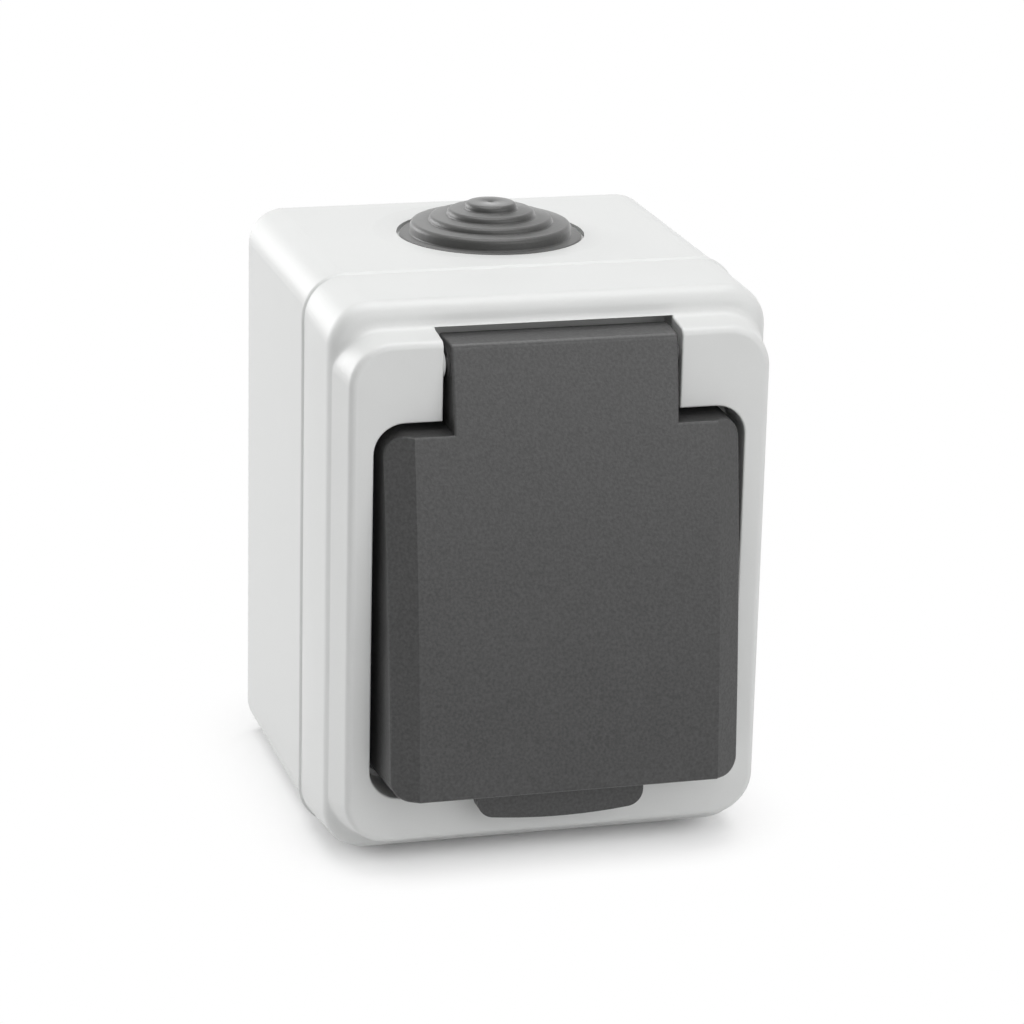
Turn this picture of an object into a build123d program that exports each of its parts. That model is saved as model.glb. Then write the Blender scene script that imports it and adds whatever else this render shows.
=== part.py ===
from build123d import *
import math
import os

# Weatherproof surface-mounted socket with a sprung hinged lid.
# X is to the right, Z is up and +Y goes into the wall.
# The wall touches the back at Y = 0 and the front faces -Y.
# A "depth" here is a distance from the wall, so a point at depth d has Y = -d.

# Back box
BOX_W = 66.0
BOX_H = 88.0
BOX_CORNER_R = 5.4
BOX_DEPTH = 42.5
BOX_WALL = 2.4
BOX_BACK_WALL = 2.4
LEDGE_W = 1.8
LEDGE_T = 1.8
LEDGE_CORNER_R = 2.2
RIM_CHAMFER = 0.2

# Wall fixing slots, one above the other
SLOT_W = 4.6
SLOT_L = 8.0
SLOT_PITCH = 64.0
SLOT_PAD_W = 13.0
SLOT_PAD_T = 1.6

# Cable entry in the top, a little to the right of the middle
ENTRY_X = 1.1
ENTRY_DEPTH = 20.3
ENTRY_RECESS_R = 14.65
ENTRY_RECESS_T = 1.2
ENTRY_BORE_R = 11.6
ENTRY_DISH_R = 18.3
ENTRY_DISH_T = 0.3
KNOCKOUT_R = 10.0
KNOCKOUT_GROOVE_W = 1.0
KNOCKOUT_GROOVE_T = 1.5

# Stepped rubber grommet
TIER_RADII = (12.55, 9.65, 6.85, 4.05)
TIER_TOPS = (1.5, 2.45, 3.5, 4.6)
TIER_CHAMFER = 0.35
GROMMET_INNER_FLANGE_R = 12.8
GROMMET_INNER_CHAMFER = 0.5
GROMMET_INNER_FLANGE_T = 1.2
GROMMET_SKIN = 1.2
GROMMET_DIMPLE_R = 0.6
GROMMET_DIMPLE_T = 0.35

# Front cover: a skirt, a shoulder and a smaller raised plateau
COVER_LAP = 0.95
COVER_TOP_LAP = 0.2
COVER_BOTTOM_INSET = 0.1
COVER_CORNER_R = 6.5
COVER_WALL = 2.3
COVER_DRAFT = 1.5
COVER_BOTTOM_DRAFT = 8.0
SHOULDER_DEPTH = 60.0
SHOULDER_R = 2.8
SHOULDER_COVE_R = 1.5
FRONT_DEPTH = 66.0
PLATEAU_INSET = 1.1
PLATEAU_TOP_INSET = 4.2
PLATEAU_BOTTOM_INSET = 4.9
PLATEAU_CORNER_R = 6.6
PLATEAU_DRAFT = 9.0
PLATEAU_TOP_DRAFT = 7.0
PLATEAU_EDGE_R = 1.2
FLOOR_FRONT_DEPTH = 57.0
FLOOR_T = 2.2
TONGUE_T = 1.5
TONGUE_L = 3.4
TONGUE_ROOT_L = 2.5
BOX_SEAL_T = 2.55

# Lid opening: a wide part below and a narrower slot for the hinge above
OPENING_W = 56.7
OPENING_TOP = 27.3
OPENING_BOTTOM = -31.0
OPENING_CORNER_R = 4.6
OPENING_EDGE_R = 0.3
HINGE_SLOT_W = 36.2
HINGE_SLOT_TOP = 40.1

# Lid
LID_GAP = 1.0
LID_BOTTOM_GAP = 2.0
TAB_GAP = 0.7
LID_TILT = 6.9
LID_FACE_DEPTH = 73.0
LID_FACE_R = 407.0
LID_WALL = 1.8
LID_BACK_DEPTH = 60.3
LID_DRAFT = 3.0
LID_DRAFT_DEPTH = 62.5
LID_CORNER_R = 3.8
LID_BOTTOM_CORNER_R = 3.2
LID_BEVEL_ANGLE = 35.0
LID_BEVEL_X = 23.05
LID_EDGE_R = 0.4
TOUCH = 0.001
LID_BLANK_T = 20.0
LID_DRUM_T = 44.0
TAB_GAP_TOP = 1.0
TAB_RIDGE_R = 1.0
GRIP_W = 25.8
GRIP_BOTTOM = -34.0
GRIP_T = 2.7
GRIP_LIFT = 2.0
GRIP_SAG = 0.9
GRIP_CORNER_R = 2.6

# Hinge
HINGE_DEPTH = 63.5
HINGE_Z = 35.4
PIN_R = 1.0
PIN_CLEARANCE = 0.05
PIN_EAR_DEPTH = 7.0
PIN_END_GAP = 0.2
PIN_CHAMFER = 0.2
KNUCKLE_W = 7.0
KNUCKLE_R = 2.5
BOSS_R = 2.0
BOSS_T = 0.4
EAR_CORE_R = 1.5
RIM_CORE_R = 0.5
SPRING_WIRE_R = 0.3
SPRING_TURNS = 12
SPRING_GAP = 0.35
SPRING_LEG_L = 6.0
SPRING_POCKET_GAP = 0.3
SPRING_REST_W = 3.0
SPRING_REST_H = 1.2
COIL_CREST = 0.4

# Plug recess
SOCKET_Z = -2.0
RECESS_R = 20.0
RECESS_DEEP = 17.5
CUP_WALL = 2.3
CUP_FLOOR_T = 2.5
CUP_RIM_DEPTH = 63.0
CUP_FLANGE_R = 27.0
CUP_FLANGE_T = 1.6
CUP_SEAL_T = 1.0
CUP_SEAL_GAP = 0.2
CUP_MOUTH_CHAMFER = 0.8
CUP_BOSS_WALL = 1.4
CUP_BOSS_T = 1.2
COLLAR_CLEARANCE = 0.3
COLLAR_WALL = 2.0
COLLAR_SHORT = 0.2
PIN_PITCH = 19.0
PIN_HOLE_R = 2.7
GUIDE_RIB_W = 4.6
GUIDE_RIB_T = 2.4
GUIDE_RIB_SHORT = 1.5
EARTH_SLOT_W = 7.0
EARTH_SLOT_T = 2.2
LID_SEAL_T = 1.2
LID_SEAL_W = 1.6

# Mechanism behind the recess
BASE_W = 42.0
BASE_H = 46.0
BASE_BACK_DEPTH = 24.0
BASE_CORNER_R = 2.0
EAR_HALF_W = 28.0
EAR_H = 9.0
EAR_T = 4.0
BASE_EAR_CORNER_R = 2.0
FIT_GAP = 0.1
STRIP_T = 1.2
STRIP_W = 5.0
EARTH_STRIP_W = 6.0
EARTH_ARM_GAP = 0.3
EARTH_CLIP_L = 12.6
EARTH_CLIP_KNEE = 8.2
EARTH_CLIP_ROOT = 2.0
EARTH_CLIP_BOW = 1.4
CONTACT_RECESS = 2.4
CONTACT_PLAY = 0.3
SLEEVE_R = 3.7
SLEEVE_BORE_R = 2.5
SLEEVE_L = 11.0
SLEEVE_SLIT = 1.0
TERMINAL_X = 17.0
TERMINAL_Z = 19.0
TERMINAL_SIZE = 6.4
TERMINAL_L = 8.0
WIRE_BORE_R = 1.5
WIRE_BORE_WALL = 0.8
SHUTTER_W = 29.0
SHUTTER_BOTTOM = 3.6
SHUTTER_TOP = 11.2
SHUTTER_T = 2.2
SHUTTER_TRAVEL = 6.5
SHUTTER_GAP = 0.3
SHUTTER_CORNER_R = 0.8
SHUTTER_RAMP = 1.5
SHUTTER_SPRING_WELL = 4.0
SHUTTER_SPRING_R = 0.95
SHUTTER_SPRING_WIRE = 0.5
SHUTTER_SPRING_TURNS = 7

# Screws
SCREW_CORE_R = 1.5
SCREW_FIT = 0.05
SCREW_HOLE_R = 2.0
SCREW_HEAD_R = 3.0
SCREW_HEAD_T = 2.2
SCREW_HEAD_CHAMFER = 0.7
SCREW_HEAD_GAP = 0.35
SCREW_SLOT_W = 0.8
SCREW_SLOT_T = 1.0
COVER_SCREW_X = 24.4
COVER_SCREW_TOP_Z = 22.6
COVER_SCREW_BOTTOM_Z = -26.6
PILLAR_R = 3.9
PILLAR_RIB_T = 2.0
COVER_SCREW_GRIP = 12.0
BASE_SCREW_X = 24.4
BASE_SCREW_GRIP = 9.0
SCREW_BORE_SPARE = 3.0
CENTRE_SCREW_TIP = 4.0
CENTRE_SCREW_SINK = 0.8

# Derived places
COVER_W = BOX_W + 2 * COVER_LAP
COVER_TOP = BOX_H / 2 + COVER_TOP_LAP
COVER_BOTTOM = COVER_BOTTOM_INSET - BOX_H / 2
PLATEAU_W = COVER_W - 2 * PLATEAU_INSET
PLATEAU_TOP = COVER_TOP - PLATEAU_TOP_INSET
PLATEAU_BOTTOM = COVER_BOTTOM + PLATEAU_BOTTOM_INSET
BOX_SEAL_FRONT = BOX_DEPTH - TONGUE_L - FIT_GAP / 2
LEDGE_DEPTH = BOX_SEAL_FRONT - BOX_SEAL_T
CUP_FLOOR_DEPTH = CUP_RIM_DEPTH - RECESS_DEEP
CUP_BACK_DEPTH = CUP_FLOOR_DEPTH - CUP_FLOOR_T
CUP_R = RECESS_R + CUP_WALL
BASE_FRONT_DEPTH = CUP_BACK_DEPTH - FIT_GAP
EARTH_STRIP_DEPTH = BASE_FRONT_DEPTH - STRIP_T
SHUTTER_FRONT_DEPTH = EARTH_STRIP_DEPTH - SHUTTER_GAP
SHUTTER_BACK_DEPTH = SHUTTER_FRONT_DEPTH - SHUTTER_T
COLLAR_BORE_R = CUP_R + COLLAR_CLEARANCE
COLLAR_R = COLLAR_BORE_R + COLLAR_WALL
FLOOR_BACK_DEPTH = FLOOR_FRONT_DEPTH - FLOOR_T
CUP_FLANGE_DEPTH = FLOOR_BACK_DEPTH - CUP_SEAL_T - CUP_FLANGE_T
COVER_SCREWS = ((-COVER_SCREW_X, COVER_SCREW_BOTTOM_Z), (COVER_SCREW_X, COVER_SCREW_TOP_Z))
BASE_SCREWS = ((-BASE_SCREW_X, SOCKET_Z), (BASE_SCREW_X, SOCKET_Z))
TERMINALS = ((-TERMINAL_X, SOCKET_Z + TERMINAL_Z), (TERMINAL_X, SOCKET_Z + TERMINAL_Z))
EARTH_TERMINAL = (-TERMINAL_X, SOCKET_Z - TERMINAL_Z)
CONTACT_BACK_DEPTH = BASE_BACK_DEPTH + CONTACT_RECESS
TERMINAL_BACK_DEPTH = CONTACT_BACK_DEPTH + STRIP_T
EARTH_TERMINAL_BACK = EARTH_STRIP_DEPTH - TERMINAL_L
SHUTTER_CHANNEL_BOTTOM = SOCKET_Z - SHUTTER_BOTTOM - SHUTTER_TRAVEL - SHUTTER_GAP
TONGUE_W = BOX_W - 2 * BOX_WALL - 2 * FIT_GAP
TONGUE_H = BOX_H - 2 * BOX_WALL - 2 * FIT_GAP
TONGUE_R = BOX_CORNER_R - BOX_WALL - FIT_GAP
COLLAR_RIB_R = COLLAR_R - FIT_GAP


def front(depth):
    """A plane parallel to the wall, whose normal points out of the wall."""
    return Plane.XZ.offset(depth)


def block(depth_a, depth_b, sketch):
    """A prism of a front-view sketch between two depths."""
    return extrude(front(depth_a) * sketch, depth_b - depth_a)


def rod(x, z, radius, depth_a, depth_b):
    """A cylinder along Y between two depths."""
    return block(depth_a, depth_b, Pos(x, z) * Circle(radius))


def box_between(x0, x1, depth_a, depth_b, z0, z1):
    """A box by its corners."""
    centre = ((x0 + x1) / 2, -(depth_a + depth_b) / 2, (z0 + z1) / 2)
    return Pos(*centre) * Box(x1 - x0, abs(depth_b - depth_a), z1 - z0)


def upright(x, depth, z0, z1, radius):
    """A cylinder along Z between two heights."""
    return Pos(x, -depth, (z0 + z1) / 2) * Cylinder(radius, z1 - z0)


def screw(x, z, tip_depth, seat_depth):
    """A slotted round-head screw that is driven from the front."""
    body = rod(x, z, SCREW_CORE_R, tip_depth, seat_depth)
    head = rod(x, z, SCREW_HEAD_R, seat_depth, seat_depth + SCREW_HEAD_T)
    rim = head.faces().sort_by(Axis.Y)[0].edges()
    head = chamfer(rim, SCREW_HEAD_CHAMFER)
    slot = box_between(
        x - SCREW_HEAD_R,
        x + SCREW_HEAD_R,
        seat_depth + SCREW_HEAD_T - SCREW_SLOT_T,
        seat_depth + SCREW_HEAD_T,
        z - SCREW_SLOT_W / 2,
        z + SCREW_SLOT_W / 2,
    )
    return body + head - slot


def solids_of(pieces):
    """Separate like pieces as one group."""
    return Compound(children=[solid for piece in pieces for solid in piece.solids()])


def back_box():
    """Open box with an inner ledge for its seal, screw pillars and fixing slots."""
    box = block(0, BOX_DEPTH, RectangleRounded(BOX_W, BOX_H, BOX_CORNER_R))
    box = chamfer(box.faces().sort_by(Axis.Y)[0].edges(), RIM_CHAMFER)
    inner_w = BOX_W - 2 * BOX_WALL
    inner_h = BOX_H - 2 * BOX_WALL
    inner_r = BOX_CORNER_R - BOX_WALL
    box -= block(BOX_BACK_WALL, BOX_DEPTH, RectangleRounded(inner_w, inner_h, inner_r))
    ledge = RectangleRounded(inner_w, inner_h, inner_r)
    ledge -= RectangleRounded(inner_w - 2 * LEDGE_W, inner_h - 2 * LEDGE_W, LEDGE_CORNER_R)
    box += block(LEDGE_DEPTH - LEDGE_T, LEDGE_DEPTH, ledge)
    for x, z in COVER_SCREWS:
        box += rod(x, z, PILLAR_R, BOX_BACK_WALL, LEDGE_DEPTH)
        wall_x = math.copysign(BOX_W / 2 - BOX_WALL, x)
        x0, x1 = sorted((x, wall_x))
        box += box_between(
            x0, x1, BOX_BACK_WALL, LEDGE_DEPTH - LEDGE_T,
            z - PILLAR_RIB_T / 2, z + PILLAR_RIB_T / 2,
        )
        bore_end = LEDGE_DEPTH - COVER_SCREW_GRIP - SCREW_BORE_SPARE
        box -= rod(x, z, SCREW_CORE_R + SCREW_FIT, bore_end, LEDGE_DEPTH)
    for x, z in BASE_SCREWS:
        box += rod(x, z, PILLAR_R, BOX_BACK_WALL, BASE_BACK_DEPTH)
        bore_end = BASE_BACK_DEPTH - BASE_SCREW_GRIP - SCREW_BORE_SPARE
        box -= rod(x, z, SCREW_CORE_R + SCREW_FIT, bore_end, BASE_BACK_DEPTH)
    for side in (-1, 1):
        z = side * SLOT_PITCH / 2
        pad = Pos(0, z) * SlotCenterToCenter(SLOT_L - SLOT_W, SLOT_PAD_W, rotation=90)
        box += block(BOX_BACK_WALL, BOX_BACK_WALL + SLOT_PAD_T, pad)
        slot = Pos(0, z) * SlotCenterToCenter(SLOT_L - SLOT_W, SLOT_W, rotation=90)
        box -= block(0, BOX_BACK_WALL + SLOT_PAD_T, slot)
    top = BOX_H / 2
    box -= upright(ENTRY_X, ENTRY_DEPTH, top - BOX_WALL, top, ENTRY_BORE_R)
    box -= upright(ENTRY_X, ENTRY_DEPTH, top - ENTRY_RECESS_T, top, ENTRY_RECESS_R)
    dish = Pos(ENTRY_X, -ENTRY_DEPTH, top - ENTRY_DISH_T / 2)
    box -= dish * Cone(ENTRY_RECESS_R, ENTRY_DISH_R, ENTRY_DISH_T)
    groove = upright(0, ENTRY_DEPTH, -top + BOX_WALL - KNOCKOUT_GROOVE_T, -top + BOX_WALL, KNOCKOUT_R)
    inside = KNOCKOUT_R - KNOCKOUT_GROOVE_W
    groove -= upright(0, ENTRY_DEPTH, -top, -top + BOX_WALL, inside)
    return box - groove


def cable_grommet():
    """Stepped blind grommet that grips the web of the cable entry."""
    surface = BOX_H / 2
    web_top = surface - ENTRY_RECESS_T
    web_bottom = surface - BOX_WALL
    neck = ENTRY_BORE_R - FIT_GAP
    flange_bottom = web_bottom - GROMMET_INNER_FLANGE_T
    outer = [(0, surface + TIER_TOPS[-1])]
    steps = list(zip(TIER_RADII, TIER_TOPS))[::-1]
    for index, (radius, top) in enumerate(steps):
        below = surface + steps[index + 1][1] if index + 1 < len(steps) else web_top
        outer += [
            (radius - TIER_CHAMFER, surface + top),
            (radius, surface + top - TIER_CHAMFER),
            (radius, below),
        ]
    outer += [
        (neck, web_top),
        (neck, web_bottom),
        (GROMMET_INNER_FLANGE_R, web_bottom),
        (GROMMET_INNER_FLANGE_R - GROMMET_INNER_CHAMFER, flange_bottom),
    ]
    inner = [(neck - GROMMET_SKIN, flange_bottom)]
    radii = (neck, *TIER_RADII[1:])
    for index, (radius, top) in enumerate(zip(radii, TIER_TOPS)):
        height = surface + top - GROMMET_SKIN
        inner += [(radius - GROMMET_SKIN, height)]
        if index + 1 < len(radii):
            inner += [(radii[index + 1] - GROMMET_SKIN, height)]
    inner += [(0, surface + TIER_TOPS[-1] - GROMMET_SKIN)]
    section = make_face(Plane.XZ * Polyline(*outer, *inner, close=True))
    body = revolve(section, Axis.Z)
    dimple = Pos(0, 0, surface + TIER_TOPS[-1] - GROMMET_DIMPLE_T / 2)
    body -= dimple * Cone(0, GROMMET_DIMPLE_R, GROMMET_DIMPLE_T)
    return Pos(ENTRY_X, -ENTRY_DEPTH, 0) * body


def tongue_mouth():
    """Inner outline of the cover's tongue and of the seal under it."""
    return RectangleRounded(TONGUE_W - 2 * TONGUE_T, TONGUE_H - 2 * TONGUE_T, TONGUE_R - TONGUE_T)


def tongue_ring():
    """Outline of the tongue that enters the box."""
    return RectangleRounded(TONGUE_W, TONGUE_H, TONGUE_R) - tongue_mouth()


def box_seal():
    """Rubber cord that the cover's tongue presses onto the ledge."""
    return block(LEDGE_DEPTH, BOX_SEAL_FRONT, tongue_ring())


def rounded(bottom, top, width, corner):
    """A rounded rectangle between two heights."""
    return Pos(0, (top + bottom) / 2) * RectangleRounded(width, top - bottom, corner)


def slope(depth, angle):
    """How far a drafted wall leans in over a depth."""
    return depth * math.tan(math.radians(angle))


def skirt_outline(depth, inset=0.0):
    """Outline of the skirt at a depth: the underside has more draft than the rest."""
    lean = slope(depth - BOX_DEPTH, COVER_DRAFT) + inset
    bottom = COVER_BOTTOM + slope(depth - BOX_DEPTH, COVER_BOTTOM_DRAFT) + inset
    return rounded(bottom, COVER_TOP - lean, COVER_W - 2 * lean, COVER_CORNER_R - inset)


def plateau_outline(depth, inset=0.0):
    """Outline of the raised plateau at a depth: its top side has less draft."""
    lean = slope(depth - SHOULDER_DEPTH, PLATEAU_DRAFT) + inset
    top = PLATEAU_TOP - slope(depth - SHOULDER_DEPTH, PLATEAU_TOP_DRAFT) - inset
    return rounded(PLATEAU_BOTTOM + lean, top, PLATEAU_W - 2 * lean, PLATEAU_CORNER_R - inset)


def cover_body():
    """Outer form: a drafted skirt with a round shoulder and a raised plateau."""
    skirt = loft([front(depth) * skirt_outline(depth) for depth in (BOX_DEPTH, SHOULDER_DEPTH)])
    skirt = fillet(skirt.faces().sort_by(Axis.Y)[0].edges(), SHOULDER_R)
    ends = (SHOULDER_DEPTH - SHOULDER_R, FRONT_DEPTH)
    plateau = loft([front(depth) * plateau_outline(depth) for depth in ends])
    plateau = fillet(plateau.faces().sort_by(Axis.Y)[0].edges(), PLATEAU_EDGE_R)
    body = skirt + plateau
    return fillet(new_edges(skirt, plateau, combined=body), SHOULDER_COVE_R)


def opening_sketch():
    """T-shaped outline of the lid opening."""
    height = OPENING_TOP - OPENING_BOTTOM
    centre = (OPENING_TOP + OPENING_BOTTOM) / 2
    wide = Pos(0, centre) * RectangleRounded(OPENING_W, height, OPENING_CORNER_R)
    slot_h = HINGE_SLOT_TOP - centre
    return wide + Pos(0, centre + slot_h / 2) * Rectangle(HINGE_SLOT_W, slot_h)


def bounds_opening(edge):
    """Whether an edge of the cover's front face belongs to the lid opening."""
    x = abs(edge.center().X)
    z = edge.center().Z
    below_top = OPENING_BOTTOM - OPENING_EDGE_R < z < OPENING_TOP + OPENING_EDGE_R
    beside_leaf = x < OPENING_W / 2 + OPENING_EDGE_R and below_top
    beside_tab = x < HINGE_SLOT_W / 2 + OPENING_EDGE_R and z > OPENING_TOP
    return beside_leaf or beside_tab


def pin_axis(x=0.0):
    """The hinge axis, for cylinders that run along X."""
    return Pos(x, -HINGE_DEPTH, HINGE_Z) * Rot(0, 90, 0)


def front_cover():
    """Moulded cover with the lid pocket, hinge ears, collar and inner tongue."""
    cover = cover_body()
    root_depth = BOX_DEPTH + TONGUE_ROOT_L
    cover -= block(BOX_DEPTH, root_depth, tongue_mouth())
    cover -= loft(
        [front(depth) * skirt_outline(depth, COVER_WALL) for depth in (root_depth, FLOOR_BACK_DEPTH)]
    )
    cover -= block(FLOOR_FRONT_DEPTH, FRONT_DEPTH, opening_sketch())
    rim = cover.faces().filter_by(Plane.XZ).sort_by(Axis.Y)[0].edges()
    cover = fillet([edge for edge in rim if bounds_opening(edge)], OPENING_EDGE_R)
    lean = slope(FRONT_DEPTH - SHOULDER_DEPTH, PLATEAU_DRAFT) + COVER_WALL
    core_w = PLATEAU_W - 2 * PLATEAU_CORNER_R - 2 * lean
    core = rounded(PLATEAU_BOTTOM + lean, OPENING_BOTTOM - COVER_WALL, core_w, RIM_CORE_R)
    cover -= block(FLOOR_BACK_DEPTH, FRONT_DEPTH - COVER_WALL, core)
    for side in (-1, 1):
        x0 = HINGE_SLOT_W / 2 + COVER_WALL
        x1 = PLATEAU_W / 2 - lean
        core = rounded(OPENING_TOP + COVER_WALL, PLATEAU_TOP - lean, x1 - x0, EAR_CORE_R)
        core = Pos(side * (x0 + x1) / 2, 0) * core
        cover -= block(FLOOR_BACK_DEPTH, HINGE_DEPTH - KNUCKLE_R, core)
    cover += rod(0, SOCKET_Z, COLLAR_R, FLOOR_BACK_DEPTH, CUP_RIM_DEPTH - COLLAR_SHORT)
    cover -= rod(0, SOCKET_Z, COLLAR_BORE_R, FLOOR_BACK_DEPTH, CUP_RIM_DEPTH)
    cover += block(BOX_DEPTH - TONGUE_L, root_depth, tongue_ring())
    mean_r = PIN_R + SPRING_GAP + SPRING_WIRE_R
    rest_z = HINGE_Z - SPRING_LEG_L + SPRING_REST_H / 2
    rest_x = spring_half_l() - 2 * SPRING_WIRE_R
    cover += box_between(
        -rest_x - SPRING_REST_W / 2, -rest_x + SPRING_REST_W / 2, FLOOR_FRONT_DEPTH,
        HINGE_DEPTH - mean_r - SPRING_WIRE_R, rest_z - SPRING_REST_H / 2, rest_z + SPRING_REST_H / 2,
    )
    for x, z in COVER_SCREWS:
        cover += rod(x, z, PILLAR_R, LEDGE_DEPTH + FIT_GAP, FLOOR_BACK_DEPTH)
        cover -= rod(x, z, SCREW_HOLE_R, LEDGE_DEPTH + FIT_GAP, FRONT_DEPTH)
        cover -= rod(x, z, SCREW_HEAD_R + SCREW_HEAD_GAP, FLOOR_BACK_DEPTH, FRONT_DEPTH)
    boss_x = -HINGE_SLOT_W / 2 + BOSS_T / 2
    cover += pin_axis(boss_x) * Cylinder(BOSS_R, BOSS_T)
    left_end = -HINGE_SLOT_W / 2 - PIN_EAR_DEPTH
    bore_l = COVER_W / 2 - left_end
    return cover - pin_axis(left_end + bore_l / 2) * Cylinder(PIN_R + PIN_CLEARANCE, bore_l)


def spring_half_l():
    """Half the length of the lid spring's closed turns."""
    return SPRING_TURNS * SPRING_WIRE_R


def cover_screws():
    """Two screws in opposite corners of the pocket, hidden under the lid."""
    tip = LEDGE_DEPTH - COVER_SCREW_GRIP
    return solids_of([screw(x, z, tip, FLOOR_BACK_DEPTH) for x, z in COVER_SCREWS])


def lid_outline(shrink=0.0):
    """Front view of the lid: a wide leaf with a narrower hinge tab on top."""
    top = OPENING_TOP - LID_GAP - shrink
    bottom = OPENING_BOTTOM + LID_BOTTOM_GAP + shrink
    width = OPENING_W - 2 * LID_GAP - 2 * shrink
    middle = (top + bottom) / 2
    leaf = Pos(0, middle) * Rectangle(width, top - bottom)
    leaf = fillet(leaf.vertices().sort_by(Axis.Y)[:2], LID_BOTTOM_CORNER_R - shrink)
    leaf = fillet(leaf.vertices().sort_by(Axis.Y)[-2:], LID_CORNER_R - shrink)
    tab_h = HINGE_SLOT_TOP - TAB_GAP_TOP - shrink - middle
    tab_w = HINGE_SLOT_W - 2 * TAB_GAP - 2 * shrink
    return leaf + Pos(0, middle + tab_h / 2) * Rectangle(tab_w, tab_h)


def behind_face(inset):
    """Everything behind the lid's face: a large drum with bevelled ends."""
    tilt = math.radians(LID_TILT)
    bevel = math.radians(LID_BEVEL_ANGLE)
    radius = LID_FACE_R - inset
    flat = LID_BEVEL_X - inset * math.tan(bevel / 2)
    reach = COVER_W / 2
    drop = (reach - flat) * math.tan(bevel)
    core = radius - LID_DRUM_T
    points = [(-reach, core), (-reach, radius - drop), (-flat, radius)]
    points += [(flat, radius), (reach, radius - drop), (reach, core)]
    profile = make_face(Plane.XY * Polyline(*[(x, -r) for x, r in points], close=True))
    spread = math.degrees(2 * BOX_H / LID_FACE_R)
    drum = Rot(-spread, 0, 0) * revolve(profile, Axis.X, 2 * spread)
    axis_depth = LID_FACE_DEPTH - LID_FACE_R * math.cos(tilt)
    return Pos(0, -axis_depth, -LID_FACE_R * math.sin(tilt)) * drum


def lid_form(shrink):
    """Solid form of the lid, shrunk by a wall thickness for its hollow."""
    outline = lid_outline(shrink)
    form = block(LID_BACK_DEPTH, LID_DRAFT_DEPTH, outline)
    form += extrude(front(LID_DRAFT_DEPTH) * outline, LID_BLANK_T, taper=LID_DRAFT)
    return form & behind_face(shrink)


def edges_along(solid, surfaces):
    """Edges of a solid that run along exactly one of the given faces."""
    return [
        edge
        for edge in solid.edges()
        if sum(face.distance_to(edge.position_at(0.5)) < TOUCH for face in surfaces) == 1
    ]


def grip_sketch():
    """Front view of the finger grip: a plate with a gently curved lower edge."""
    half = GRIP_W / 2
    end_z = GRIP_BOTTOM + GRIP_SAG
    top_z = OPENING_BOTTOM + LID_BOTTOM_GAP + LID_WALL
    sides = Polyline((-half, end_z), (-half, top_z), (half, top_z), (half, end_z))
    lower = ThreePointArc((-half, end_z), (0, GRIP_BOTTOM), (half, end_z))
    plate = make_face([sides, lower])
    return fillet(plate.vertices().sort_by(Axis.Y)[:2], GRIP_CORNER_R)


def lid():
    """Sprung lid: a drafted shell with a sloping face, hinge tab and finger grip."""
    hollow = lid_form(LID_WALL)
    outer = lid_form(0)
    tab_top = outer.faces().sort_by(Axis.Z)[-2:].sort_by(Axis.Y)[0]
    outer = fillet(tab_top.edges().sort_by(Axis.Y)[0], TAB_RIDGE_R)
    drum_faces = behind_face(0).faces().filter_by(GeomType.PLANE, reverse=True)
    outer = fillet(edges_along(outer, drum_faces), LID_EDGE_R)
    shell = outer - hollow
    tab_w = HINGE_SLOT_W - 2 * TAB_GAP
    for side in (-1, 1):
        shell += pin_axis(side * (tab_w - KNUCKLE_W) / 2) * Cylinder(KNUCKLE_R, KNUCKLE_W)
    shell += pin_axis((tab_w + BOSS_T) / 2) * Cylinder(BOSS_R, BOSS_T)
    shell -= pin_axis() * Cylinder(PIN_R + PIN_CLEARANCE, tab_w + 4 * BOSS_T)
    pocket_r = PIN_R + SPRING_GAP + 2 * SPRING_WIRE_R + SPRING_POCKET_GAP
    shell -= pin_axis() * Cylinder(pocket_r, 2 * (spring_half_l() + SPRING_POCKET_GAP))
    seal_seat = CUP_RIM_DEPTH + LID_SEAL_T
    rib = ring(COLLAR_RIB_R, COLLAR_RIB_R - LID_SEAL_W, seal_seat, LID_FACE_DEPTH + LID_WALL)
    shell += rib & lid_form(LID_WALL / 2)
    grip_back = FRONT_DEPTH + GRIP_LIFT
    return shell + (block(grip_back, grip_back + GRIP_T, grip_sketch()) - hollow)


def hinge_pin():
    """Steel rod through both ears and the tab."""
    reach = HINGE_SLOT_W / 2 + PIN_EAR_DEPTH - PIN_END_GAP
    rod_along = Cylinder(PIN_R, 2 * reach)
    return pin_axis() * chamfer(rod_along.edges(), PIN_CHAMFER)


def coil_body(inner_r, wire, turns, pitch):
    """Coil spring as a ridged sleeve around Z, with one ridge for each turn."""
    half = turns * pitch / 2
    outer_r = inner_r + wire
    ridge = [(inner_r, -half)]
    for index in range(turns):
        start = -half + index * pitch
        ridge += [
            (inner_r + wire / 2, start),
            (outer_r, start + pitch * (1 - COIL_CREST) / 2),
            (outer_r, start + pitch * (1 + COIL_CREST) / 2),
        ]
    ridge += [(inner_r + wire / 2, half), (inner_r, half)]
    return revolve(make_face(Plane.XZ * Polyline(*ridge, close=True)), Axis.Z)


def lid_spring():
    """Close-wound torsion spring on the pin, with one leg on the lid and one on the floor."""
    wire = 2 * SPRING_WIRE_R
    coil = Rot(0, 90, 0) * coil_body(PIN_R + SPRING_GAP, wire, SPRING_TURNS, wire)
    mean_r = PIN_R + SPRING_GAP + SPRING_WIRE_R
    leg = Pos(0, 0, -SPRING_LEG_L / 2) * Cylinder(SPRING_WIRE_R, SPRING_LEG_L)
    leg_x = spring_half_l() - wire
    coil += Pos(leg_x, -mean_r, 0) * leg
    coil += Pos(-leg_x, mean_r, 0) * leg
    return Pos(0, -HINGE_DEPTH, HINGE_Z) * coil


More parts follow.
